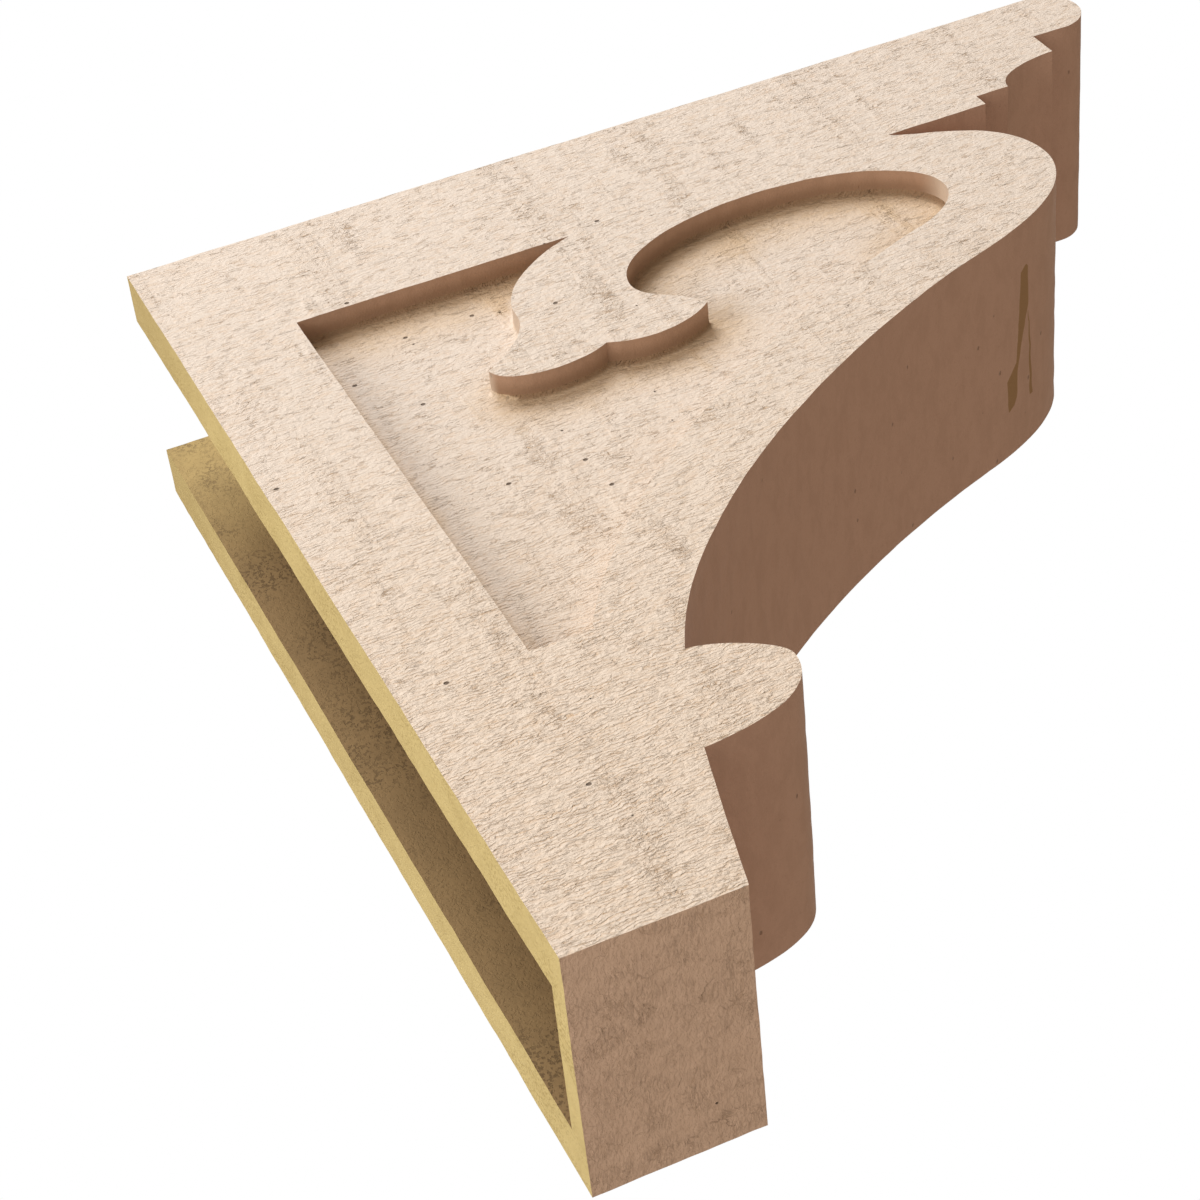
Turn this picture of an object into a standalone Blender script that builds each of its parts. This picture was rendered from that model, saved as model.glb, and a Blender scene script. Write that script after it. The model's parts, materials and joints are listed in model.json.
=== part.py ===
"""Rough-sawn corbel, moulded as one hollow piece of rigid foam.

Row frame: metres, +Z up, +X straight out from the wall and +Y across the width. The origin is
on the wall plane, at the middle of the foot wall's back rim.

The profile is drawn in millimetres as (x, z): x runs out from the wall, and z is negative
downwards from the top face.
"""
import math

import bmesh
import bpy

MM = 0.001

# Overall size, in millimetres.
HEIGHT = 508.0
PROJECTION = 508.0
WIDTH = 127.0
MODULE = HEIGHT / 28.0

# Walls of the hollow body. The back and the top are open.
SIDE_WALL = 25.4
FOOT_WALL = 12.7
FRONT_WALL = 19.0

# Cap: a half-round nose, a fillet and a cove under it, and a short flat underside.
NOSE_RADIUS = MODULE
NOSE_CENTRE_X = PROJECTION - NOSE_RADIUS
CAP_FACE_X = 26.0 * MODULE
FILLET_Z = -3.0 * MODULE
COVE_X = 24.0 * MODULE
COVE_Z = -4.0 * MODULE
CAP_TOE_X = 23.0 * MODULE
CAP_UNDER_Z = -4.5 * MODULE

# Belly: springs from the cap's underside and swells to its furthest point.
BELLY_START_X = 20.0 * MODULE
BELLY_X = 418.0
BELLY_Z = -135.5

# Long front curve, from the belly to the cusp above the lobe.
SWEEP_JOIN = (349.2, -196.4)
CUSP = (109.3, -380.5)

# Lobe under the cusp, then the tapering leg.
LOBE_X = 144.6
LOBE_Z = -404.8
LEG_TOP = (90.8, -435.5)
LEG_FOOT_X = 72.8

# Sunk panel on each flank.
PANEL_DEPTH = 12.7
PANEL_BACK_X = 56.2
PANEL_FOOT_Z = -351.5
RIM_WIDTH = 2.0 * MODULE
ARCH_CENTRE_X = 281.7
ARCH_RADIUS_X = 4.5 * MODULE
ARCH_RISE = 2.25 * MODULE
ARCH_END = (336.4, -162.7)

# Fishtail tongue, left at face level between the two halves of the panel.
TONGUE_START_X = 193.0
TONGUE_NECK = (145.3, -130.0)
BACK_TIP = (117.0, -165.0)
TONGUE_CUSP = (171.0, -172.5)
FRONT_TIP = (223.5, -167.0)

MERGE = 0.00001
SHARP_ANGLE = math.radians(32.0)


def bezier(start, pull_start, pull_end, end, count):
    """Points of a cubic curve after its start, with its end included."""
    points = []
    for step in range(1, count + 1):
        t = step / count
        a = (1.0 - t) ** 3
        b = 3.0 * t * (1.0 - t) ** 2
        c = 3.0 * t * t * (1.0 - t)
        d = t ** 3
        points.append((
            a * start[0] + b * pull_start[0] + c * pull_end[0] + d * end[0],
            a * start[1] + b * pull_start[1] + c * pull_end[1] + d * end[1],
        ))
    return points


def ellipse(centre, radius_x, radius_z, from_deg, to_deg, count):
    """Points along an elliptical arc, both ends included."""
    points = []
    for step in range(count + 1):
        angle = math.radians(from_deg + (to_deg - from_deg) * step / count)
        points.append((
            centre[0] + radius_x * math.cos(angle),
            centre[1] + radius_z * math.sin(angle),
        ))
    return points


def offset(points, distance):
    """A curve moved to its right-hand side, seen with x to the right and z up."""
    moved = []
    for index, point in enumerate(points):
        before = points[max(index - 1, 0)]
        after = points[min(index + 1, len(points) - 1)]
        run = after[0] - before[0]
        rise = after[1] - before[1]
        length = math.hypot(run, rise)
        moved.append((
            point[0] + rise / length * distance,
            point[1] - run / length * distance,
        ))
    return moved


def belly_top(count=12):
    """The belly's upper surface, from the cap's underside to the furthest point."""
    start = (BELLY_START_X, CAP_UNDER_Z)
    end = (BELLY_X, BELLY_Z)
    return [start] + bezier(start, (376.9, -92.2), (BELLY_X, -98.2), end, count)


def belly_bottom(count=14):
    """From the belly's furthest point back in under it."""
    start = (BELLY_X, BELLY_Z)
    return bezier(start, (BELLY_X, -161.9), (391.4, -181.7), SWEEP_JOIN, count)


def sweep(count=26):
    """The long front curve down to the cusp."""
    return bezier(SWEEP_JOIN, (242.0, -233.8), (139.7, -310.2), CUSP, count)


def lobe(count=12):
    """The lobe under the cusp."""
    upper = bezier(CUSP, (120.3, -381.1), (LOBE_X, -395.9), (LOBE_X, LOBE_Z), count)
    lower = bezier((LOBE_X, LOBE_Z), (LOBE_X, -426.5), (119.4, -433.7), LEG_TOP, count)
    return upper + lower


def profile():
    """The whole side outline, from the top of the wall side round to its foot."""
    points = [(0.0, 0.0)]
    points += ellipse((NOSE_CENTRE_X, -NOSE_RADIUS), NOSE_RADIUS, NOSE_RADIUS, 90.0, -90.0, 20)
    points.append((CAP_FACE_X, -2.0 * MODULE))
    points.append((CAP_FACE_X, FILLET_Z))
    cove = ellipse((CAP_FACE_X, COVE_Z), CAP_FACE_X - COVE_X, FILLET_Z - COVE_Z, 90.0, 180.0, 10)
    points += cove[1:]
    points.append((CAP_TOE_X, COVE_Z))
    points.append((CAP_TOE_X, CAP_UNDER_Z))
    points += belly_top()
    points += belly_bottom()
    points += sweep()
    points += lobe()
    points.append((LEG_FOOT_X, -HEIGHT))
    points.append((0.0, -HEIGHT))
    return points


def hollow():
    """The cavity's outline. It runs out past the back and the top, which are open."""
    past = 20.0
    cap_front = CAP_FACE_X - FRONT_WALL
    cap_floor = CAP_UNDER_Z + FRONT_WALL
    notch = (BELLY_START_X, CAP_UNDER_Z)
    points = [(-past, past), (cap_front, past)]
    points.append((cap_front, FILLET_Z + FRONT_WALL))
    points.append((COVE_X - FRONT_WALL, COVE_Z + FRONT_WALL))
    points.append((CAP_TOE_X - FRONT_WALL, cap_floor))
    points += ellipse(notch, FRONT_WALL, FRONT_WALL, 90.0, 238.0, 10)
    front = belly_top(12) + belly_bottom(12) + sweep(18)
    inner = offset(front, FRONT_WALL)
    points += [point for point in inner[2:-1] if point[1] < CAP_UNDER_Z - FRONT_WALL]
    leg_slope = (LEG_TOP[0] - LEG_FOOT_X) / (LEG_TOP[1] + HEIGHT)
    foot_top = FOOT_WALL - HEIGHT
    points.append((LEG_TOP[0] - FRONT_WALL, LEG_TOP[1]))
    points.append((LEG_FOOT_X - FRONT_WALL + leg_slope * FOOT_WALL, foot_top))
    points.append((-past, foot_top))
    return points


def tongue():
    """The tongue's outline, from the panel's top edge round to the arch."""
    start = (TONGUE_START_X, CAP_UNDER_Z)
    neck = (ARCH_CENTRE_X - ARCH_RADIUS_X, BELLY_Z)
    points = [start]
    points += bezier(start, (170.0, -89.5), (145.3, -108.0), TONGUE_NECK, 10)
    points += bezier(TONGUE_NECK, (145.3, -143.0), (133.0, -155.0), BACK_TIP, 8)
    points += bezier(BACK_TIP, (120.0, -181.0), (155.0, -182.0), TONGUE_CUSP, 10)
    points += bezier(TONGUE_CUSP, (184.0, -180.0), (208.0, -180.5), FRONT_TIP, 10)
    points += bezier(FRONT_TIP, (216.0, -151.0), (neck[0], -150.0), neck, 8)
    return points


def panel():
    """The sunk panel's outline on a flank."""
    points = [(PANEL_BACK_X, CAP_UNDER_Z)]
    points += tongue()
    arch_side = (ARCH_CENTRE_X + ARCH_RADIUS_X, BELLY_Z)
    arch = ellipse((ARCH_CENTRE_X, BELLY_Z), ARCH_RADIUS_X, ARCH_RISE, 180.0, 0.0, 28)
    points += arch[1:]
    points += bezier(arch_side, (arch_side[0], -149.5), (347.5, -158.2), ARCH_END, 8)
    rim = offset([SWEEP_JOIN] + sweep(22), RIM_WIDTH)
    points += [p for p in rim if p[0] < ARCH_END[0] - 4.0 and p[1] > PANEL_FOOT_Z + 2.0]
    last = [p for p in rim if p[1] <= PANEL_FOOT_Z + 2.0][0]
    points.append((last[0], PANEL_FOOT_Z))
    points.append((PANEL_BACK_X, PANEL_FOOT_Z))
    return points


def prism(name, outline, y_low, y_high):
    """A solid from a side outline, between two widths in millimetres."""
    top = HEIGHT - FOOT_WALL / 2.0
    mesh = bmesh.new()
    near = [mesh.verts.new((x * MM, y_low * MM, (z + top) * MM)) for x, z in outline]
    far = [mesh.verts.new((x * MM, y_high * MM, (z + top) * MM)) for x, z in outline]
    mesh.faces.new(near)
    mesh.faces.new(list(reversed(far)))
    count = len(outline)
    for index in range(count):
        after = (index + 1) % count
        mesh.faces.new((near[index], far[index], far[after], near[after]))
    bmesh.ops.recalc_face_normals(mesh, faces=mesh.faces)
    data = bpy.data.meshes.new(name)
    mesh.to_mesh(data)
    mesh.free()
    built = bpy.data.objects.new(name, data)
    bpy.context.scene.collection.objects.link(built)
    return built


def cut(body, cutter):
    """Adds a Boolean that takes the cutter away from the body."""
    cutter.hide_render = True
    cutter.display_type = "WIRE"
    modifier = body.modifiers.new(cutter.name, "BOOLEAN")
    modifier.operation = "DIFFERENCE"
    modifier.solver = "EXACT"
    modifier.object = cutter


def bake(body, cutters):
    """Applies the Booleans, cleans the mesh and drops the cutters."""
    graph = bpy.context.evaluated_depsgraph_get()
    data = bpy.data.meshes.new_from_object(body.evaluated_get(graph))
    body.modifiers.clear()
    mesh = bmesh.new()
    mesh.from_mesh(data)
    bmesh.ops.remove_doubles(mesh, verts=mesh.verts, dist=MERGE)
    bmesh.ops.recalc_face_normals(mesh, faces=mesh.faces)
    bmesh.ops.triangulate(mesh, faces=mesh.faces)
    mesh.to_mesh(data)
    mesh.free()
    body.data = data
    data.name = body.name
    data.shade_smooth()
    data.set_sharp_from_angle(angle=SHARP_ANGLE)
    for cutter in cutters:
        bpy.data.objects.remove(cutter)


def foam():
    """Painted rigid foam with a dry, sawn look."""
    material = bpy.data.materials.new("sawn_foam")
    material.use_nodes = True
    shader = material.node_tree.nodes["Principled BSDF"]
    shader.inputs["Base Color"].default_value = (0.68, 0.53, 0.40, 1.0)
    shader.inputs["Roughness"].default_value = 0.85
    return material


def build():
    """Builds the corbel."""
    for old in list(bpy.data.objects):
        bpy.data.objects.remove(old)
    half = WIDTH / 2.0
    inner = half - SIDE_WALL
    past = 5.0
    corbel = prism("corbel", profile(), -half, half)
    cavity = prism("cavity", hollow(), -inner, inner)
    outline = panel()
    near_panel = prism("near_panel", outline, -half - past, -half + PANEL_DEPTH)
    far_panel = prism("far_panel", outline, half - PANEL_DEPTH, half + past)
    cutters = [cavity, near_panel, far_panel]
    for cutter in cutters:
        cut(corbel, cutter)
    bake(corbel, cutters)
    corbel.data.materials.clear()
    corbel.data.materials.append(foam())
    return corbel


build()
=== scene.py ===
"""Looks of the rough-sawn corbel: one hollow moulding of rigid foam, painted outside.

The moulding is modelled again here at a finer step than the solid, with its sawn relief, and
stands for the CAD node. Sizes are in millimetres as (x, z): x runs out from the wall, and z is
negative downwards from the top face. Meshes are turned into the row frame's metres at the end.
"""
import sys

import json
import logging
import math
from dataclasses import dataclass, field
from enum import Enum

import bmesh
import bpy
import numpy as np
from mathutils import Matrix, Vector
from mathutils.geometry import delaunay_2d_cdt

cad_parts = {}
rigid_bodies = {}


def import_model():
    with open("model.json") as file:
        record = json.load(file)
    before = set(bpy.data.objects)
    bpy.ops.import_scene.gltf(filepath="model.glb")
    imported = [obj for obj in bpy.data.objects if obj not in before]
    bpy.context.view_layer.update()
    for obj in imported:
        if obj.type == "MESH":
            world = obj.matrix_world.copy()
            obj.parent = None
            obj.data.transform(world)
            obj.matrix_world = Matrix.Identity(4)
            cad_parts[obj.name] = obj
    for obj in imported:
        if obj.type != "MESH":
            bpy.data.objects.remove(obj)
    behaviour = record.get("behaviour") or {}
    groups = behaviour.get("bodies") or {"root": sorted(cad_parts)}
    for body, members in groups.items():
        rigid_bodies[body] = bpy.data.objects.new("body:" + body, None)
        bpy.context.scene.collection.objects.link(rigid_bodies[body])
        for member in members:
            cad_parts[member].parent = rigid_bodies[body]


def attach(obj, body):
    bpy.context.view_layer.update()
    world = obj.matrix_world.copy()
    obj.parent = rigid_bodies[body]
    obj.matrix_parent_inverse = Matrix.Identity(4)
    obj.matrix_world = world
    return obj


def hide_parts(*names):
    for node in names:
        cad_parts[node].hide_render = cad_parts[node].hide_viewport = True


LOG = logging.getLogger("corbel")

MM = 0.001

# How far points may lie apart, in metres, to be joined into one, and the shortest edge kept.
WELD = 0.00003
SHORTEST_EDGE = 0.00002

# Faces that meet at more than this angle, in degrees, keep a sharp edge between them.
SHARP_ANGLE = 42.0

# Stretches of the outline whose directions have a dot product below this meet in a corner.
CORNER_TURN = 0.93

# The side of the smooth noise's lattice, in cells, after which it repeats.
LATTICE = 256

# How strongly shade is painted at each point of the mesh, in a panel's corners and under its edges,
# which the paints read.
PAINTED_SHADE_LAYER = "painted_shade"

# What all the finishes share: matt, with little shine.
MATT_SPECULAR = 0.35
# Painted shade: the dark tones of the pinholes and pits stand in for the shade inside them.
HOLE_TONE = (0.10, 0.06, 0.035)
PIT_TONE = (0.16, 0.09, 0.05)

Point = tuple[float, float]
Triple = tuple[float, float, float]
Colour = Triple
Socket = bpy.types.NodeSocket

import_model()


class Run(Enum):
    """A stretch of the moulding's side outline."""

    TOP = "top"
    FRONT = "front"
    FOOT = "foot"
    BACK = "back"


class Skin(Enum):
    """The finishes, by their place in the mesh's material slots."""

    FLANK = 0
    FRONT = 1
    FOOT = 2
    FOAM = 3
    HOLLOW = 4
    WALL = 5


class Flank(Enum):
    """Which side of the corbel a face is on: the sign of its y."""

    NEAR = -1
    FAR = 1


def straight(start: Point, end: Point, step: float) -> list[Point]:
    """Points along a straight line, after its start and with its end.

    Args:
        start: Where the line begins.
        end: Where it ends.
        step: The widest spacing.

    Returns:
        The points in order.
    """
    length = math.hypot(end[0] - start[0], end[1] - start[1])
    count = max(1, math.ceil(length / step))
    return [
        (start[0] + (end[0] - start[0]) * i / count, start[1] + (end[1] - start[1]) * i / count)
        for i in range(1, count + 1)
    ]


def bezier(start: Point, pull_start: Point, pull_end: Point, end: Point,
           step: float) -> list[Point]:
    """Points along a cubic curve, after its start and with its end.

    Args:
        start: Where the curve begins.
        pull_start: The control point that sets how it leaves.
        pull_end: The control point that sets how it arrives.
        end: Where it ends.
        step: The spacing, on average.

    Returns:
        The points in order.
    """
    corners = [start, pull_start, pull_end, end]
    reach = sum(math.dist(a, b) for a, b in zip(corners, corners[1:]))
    chord = math.dist(start, end)
    count = max(2, math.ceil((reach + chord) / 2.0 / step))
    points = []
    for i in range(1, count + 1):
        t = i / count
        weights = ((1 - t) ** 3, 3 * t * (1 - t) ** 2, 3 * t * t * (1 - t), t ** 3)
        points.append((
            sum(w * c[0] for w, c in zip(weights, corners)),
            sum(w * c[1] for w, c in zip(weights, corners)),
        ))
    return points


def ellipse(centre: Point, radius_x: float, radius_z: float, turn: tuple[float, float],
            step: float) -> list[Point]:
    """Points along an elliptical arc, after its start and with its end.

    Args:
        centre: The ellipse's centre.
        radius_x: Its reach along x.
        radius_z: Its reach along z.
        turn: The start and end angles in degrees, from +x towards +z.
        step: The spacing, on average.

    Returns:
        The points in order.
    """
    swept = math.radians(abs(turn[1] - turn[0]))
    count = max(2, math.ceil(swept * (radius_x + radius_z) / 2.0 / step))
    points = []
    for i in range(1, count + 1):
        angle = math.radians(turn[0] + (turn[1] - turn[0]) * i / count)
        reach = (radius_x * math.cos(angle), radius_z * math.sin(angle))
        points.append((centre[0] + reach[0], centre[1] + reach[1]))
    return points


def offset(points: list[Point], distance: float) -> list[Point]:
    """Moves a curve to its right-hand side, seen with x to the right and z up.

    Args:
        points: The curve.
        distance: How far it moves.

    Returns:
        One moved point for each point.
    """
    moved = []
    for i, point in enumerate(points):
        before = points[max(i - 1, 0)]
        after = points[min(i + 1, len(points) - 1)]
        run, rise = after[0] - before[0], after[1] - before[1]
        length = math.hypot(run, rise)
        moved.append((point[0] + rise / length * distance, point[1] - run / length * distance))
    return moved


def inside(points: np.ndarray, loop: np.ndarray) -> np.ndarray:
    """Tells which points lie inside a closed loop.

    Args:
        points: An array of n rows of (x, z).
        loop: The loop's corners in order.

    Returns:
        n booleans.
    """
    result = np.zeros(len(points), bool)
    x, z = points[:, 0], points[:, 1]
    for (xa, za), (xb, zb) in zip(loop, np.roll(loop, -1, axis=0)):
        if za == zb:
            continue
        crosses = (za > z) != (zb > z)
        result ^= crosses & (x < (xb - xa) * (z - za) / (zb - za) + xa)
    return result


def clearance(points: np.ndarray, line: np.ndarray, closed: bool = True) -> np.ndarray:
    """Measures each point's distance to a line.

    Args:
        points: An array of n rows of (x, z).
        line: The line's corners in order.
        closed: Whether its last corner joins the first.

    Returns:
        n distances.
    """
    nearest = np.full(len(points), np.inf)
    ends = np.roll(line, -1, axis=0)
    for a, b in zip(line if closed else line[:-1], ends):
        along = b - a
        share = np.clip(((points - a) @ along) / (along @ along), 0.0, 1.0)
        gap = points - a - share[:, None] * along
        nearest = np.minimum(nearest, np.einsum("ij,ij->i", gap, gap))
    return np.sqrt(nearest)


def ramp(values: np.ndarray, low: float, high: float) -> np.ndarray:
    """A smooth step from 0 at low to 1 at high."""
    t = np.clip((values - low) / (high - low), 0.0, 1.0)
    return t * t * (3.0 - 2.0 * t)


@dataclass
class Ripple:
    """Seeded smooth noise on a square lattice, from -1 to 1."""

    seed: int
    table: np.ndarray = field(init=False)

    def __post_init__(self) -> None:
        """Draws the lattice's values."""
        draw = np.random.default_rng(self.seed)
        self.table = draw.uniform(-1.0, 1.0, (LATTICE, LATTICE))

    def at(self, u: np.ndarray, v: np.ndarray) -> np.ndarray:
        """Reads the noise.

        Args:
            u: First coordinate, in lattice cells.
            v: Second coordinate, in lattice cells.

        Returns:
            One value for each pair.
        """
        iu, iv = np.floor(u).astype(int), np.floor(v).astype(int)
        fu, fv = u - iu, v - iv
        fu, fv = fu * fu * (3.0 - 2.0 * fu), fv * fv * (3.0 - 2.0 * fv)
        u0, u1 = iu % LATTICE, (iu + 1) % LATTICE
        v0, v1 = iv % LATTICE, (iv + 1) % LATTICE
        a, b = self.table[u0, v0], self.table[u1, v0]
        c, d = self.table[u0, v1], self.table[u1, v1]
        return (a * (1 - fu) + b * fu) * (1 - fv) + (c * (1 - fu) + d * fu) * fv


@dataclass
class SawnRelief:
    """The rough-sawn surface: streaks along the cut, torn crumbs in patches, a slow wave."""

    seed: int
    streak_length: float = 15.0
    streak_pitch: float = 3.9
    streak_depth: float = 0.12
    crumb_size: float = 3.6
    crumb_depth: float = 0.20
    cross_depth: float = 0.12
    wave_depth: float = 0.12

    def height(self, along: np.ndarray, across: np.ndarray) -> np.ndarray:
        """The surface's height over its mean plane.

        Args:
            along: Coordinate along the saw cut.
            across: Coordinate across it.

        Returns:
            Heights in millimetres.
        """
        noise = Ripple(self.seed)
        sway = 2.2 * noise.at(along / 38.0, across / 16.0 + 90.0)
        run, rows = along / self.streak_length, (across + sway) / self.streak_pitch
        cut = noise.at(run, rows + 31.0)
        finer = noise.at(run * 1.9 + 70.0, rows * 1.7)
        streak = 0.65 - np.abs(cut) * 1.3 + 0.35 * finer
        patch = ramp(noise.at(along / 62.0 + 11.0, across / 40.0 + 57.0), -0.15, 0.45)
        crumb = noise.at(along / self.crumb_size + 120.0, (across + sway) / self.crumb_size * 1.25)
        wave = noise.at(along / 130.0 + 200.0, across / 85.0 + 201.0)
        cross = noise.at((along + 0.5 * sway) / 4.6 + 17.0, across / 75.0 + 143.0)
        cross *= ramp(noise.at(along / 27.0 + 77.0, across / 120.0 + 33.0), 0.0, 0.6)
        return (self.streak_depth * streak + self.crumb_depth * patch * crumb
                + self.cross_depth * cross + self.wave_depth * wave)


@dataclass
class Profile:
    """The corbel's side outline, with the sizes of the solid."""

    height: float = 508.0
    projection: float = 508.0
    foot_wall: float = 12.7
    front_wall: float = 19.0
    belly_x: float = 418.0
    belly_z: float = -135.5
    sweep_join: Point = (349.2, -196.4)
    cusp: Point = (109.3, -380.5)
    lobe_x: float = 144.6
    lobe_z: float = -404.8
    leg_top: Point = (90.8, -435.5)
    leg_foot_x: float = 72.8
    step: float = 2.7
    rim_step: float = 4.2

    @property
    def module(self) -> float:
        """The profile's unit, of which the height has 28."""
        return self.height / 28.0

    @property
    def cap_under_z(self) -> float:
        """The cap's flat underside."""
        return -4.5 * self.module

    @property
    def notch(self) -> Point:
        """Where the belly springs from the cap's underside."""
        return (20.0 * self.module, self.cap_under_z)

    @property
    def mouth_x(self) -> float:
        """How far the open top reaches from the wall."""
        return 26.0 * self.module - self.front_wall

    @property
    def foot_top_z(self) -> float:
        """The upper side of the foot wall."""
        return self.foot_wall - self.height

    def cap(self) -> list[Point]:
        """The nose, the fillet, the cove and the short underside, after the top face.

        Returns:
            The points in order.
        """
        m, step = self.module, self.step
        nose = (self.projection - m, -m)
        points = ellipse(nose, m, m, (90.0, -90.0), step)
        points += straight(points[-1], (26.0 * m, -2.0 * m), step)
        points += straight(points[-1], (26.0 * m, -3.0 * m), step)
        points += ellipse((26.0 * m, -4.0 * m), 2.0 * m, m, (90.0, 180.0), step)
        points += straight(points[-1], (23.0 * m, -4.0 * m), step)
        points += straight(points[-1], (23.0 * m, self.cap_under_z), step)
        points += straight(points[-1], self.notch, step)
        return points

    def belly(self) -> list[Point]:
        """The belly's surface, from the notch under the cap to where the long curve begins.

        Returns:
            The points in order.
        """
        peak = (self.belly_x, self.belly_z)
        points = bezier(self.notch, (376.9, -92.2), (self.belly_x, -98.2), peak, self.step)
        points += bezier(peak, (self.belly_x, -161.9), (391.4, -181.7), self.sweep_join, self.step)
        return points

    def sweep(self) -> list[Point]:
        """The long front curve down to the cusp."""
        return bezier(self.sweep_join, (242.0, -233.8), (139.7, -310.2), self.cusp, self.step)

    def lobe(self) -> list[Point]:
        """The lobe under the cusp.

        Returns:
            The points in order.
        """
        tip = (self.lobe_x, self.lobe_z)
        points = bezier(self.cusp, (120.3, -381.1), (self.lobe_x, -395.9), tip, self.step)
        points += bezier(tip, (self.lobe_x, -426.5), (119.4, -433.7), self.leg_top, self.step)
        return points

    def outline(self) -> tuple[list[Point], list[Run]]:
        """The closed outline, from the top of the wall side round to its foot and back up.

        Returns:
            The points, and for each one the run that starts there.
        """
        points: list[Point] = [(0.0, 0.0)]
        runs: list[Run] = []

        def add(more: list[Point], run: Run) -> None:
            """Adds points and names the run that they end."""
            points.extend(more)
            runs.extend([run] * len(more))

        nose_x = self.projection - self.module
        add(straight((0.0, 0.0), (self.mouth_x, 0.0), self.rim_step), Run.TOP)
        add(straight(points[-1], (nose_x, 0.0), self.rim_step), Run.TOP)
        add(self.cap() + self.belly() + self.sweep() + self.lobe(), Run.FRONT)
        add(straight(points[-1], (self.leg_foot_x, -self.height), self.step), Run.FRONT)
        add(straight(points[-1], (0.0, -self.height), self.step), Run.FOOT)
        add(straight(points[-1], (0.0, self.foot_top_z), self.rim_step), Run.BACK)
        add(straight(points[-1], (0.0, 0.0), self.rim_step), Run.BACK)
        points.pop()
        return points, runs

    def hollow_front(self) -> list[Point]:
        """The inside of the front wall, from the open top down and back along the foot wall.

        Returns:
            The points in order.
        """
        m, wall, step = self.module, self.front_wall, 5.0
        points = [(self.mouth_x, 0.0)]
        points += straight(points[-1], (self.mouth_x, -3.0 * m + wall), step)
        points += straight(points[-1], (24.0 * m - wall, -4.0 * m + wall), step)
        points += straight(points[-1], (23.0 * m - wall, self.cap_under_z + wall), step)
        points += straight(points[-1], (self.notch[0], self.cap_under_z + wall), step)
        points += ellipse(self.notch, wall, wall, (90.0, 238.0), step)
        front = [self.notch] + self.belly() + self.sweep()
        inner = offset(front, wall)[2:-1]
        points += [p for p in inner if p[1] < self.cap_under_z - wall][::2]
        slope = (self.leg_top[0] - self.leg_foot_x) / (self.leg_top[1] + self.height)
        points += straight(points[-1], (self.leg_top[0] - wall, self.leg_top[1]), step)
        corner = (self.leg_foot_x - wall + slope * self.foot_wall, self.foot_top_z)
        points += straight(points[-1], corner, step)
        points += straight(points[-1], (0.0, self.foot_top_z), step)
        return points


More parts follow.
